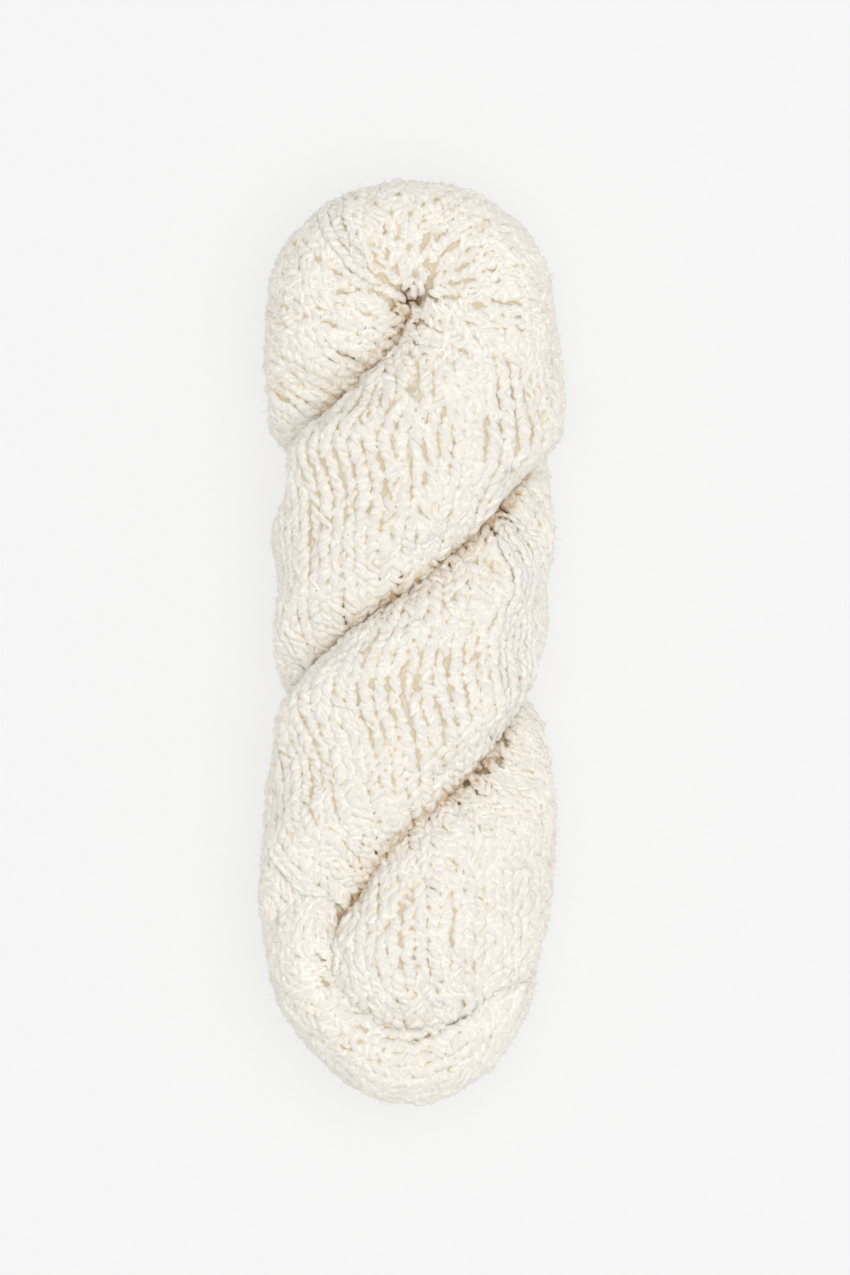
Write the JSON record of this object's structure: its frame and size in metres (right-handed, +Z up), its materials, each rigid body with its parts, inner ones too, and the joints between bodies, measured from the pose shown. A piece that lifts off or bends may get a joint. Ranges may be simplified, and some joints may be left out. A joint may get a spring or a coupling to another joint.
{
  "type": "hank of knitting yarn",
  "caption": "Twisted hank of thick cream boucle knitting yarn, folded and laid like a rope, lying flat.",
  "frame": {"origin": "centre of the hank's footprint, on the table that it lies on", "axes": "+Y along the hank to its rounded head, +X across it, +Z up from the table"},
  "size_m": [0.0892, 0.2698, 0.0634],
  "materials": {
    "yarn": "soft, fuzzy, matt undyed yarn"
  },
  "bodies": {
    "root": {"hank": "yarn"}
  },
  "joints": []
}
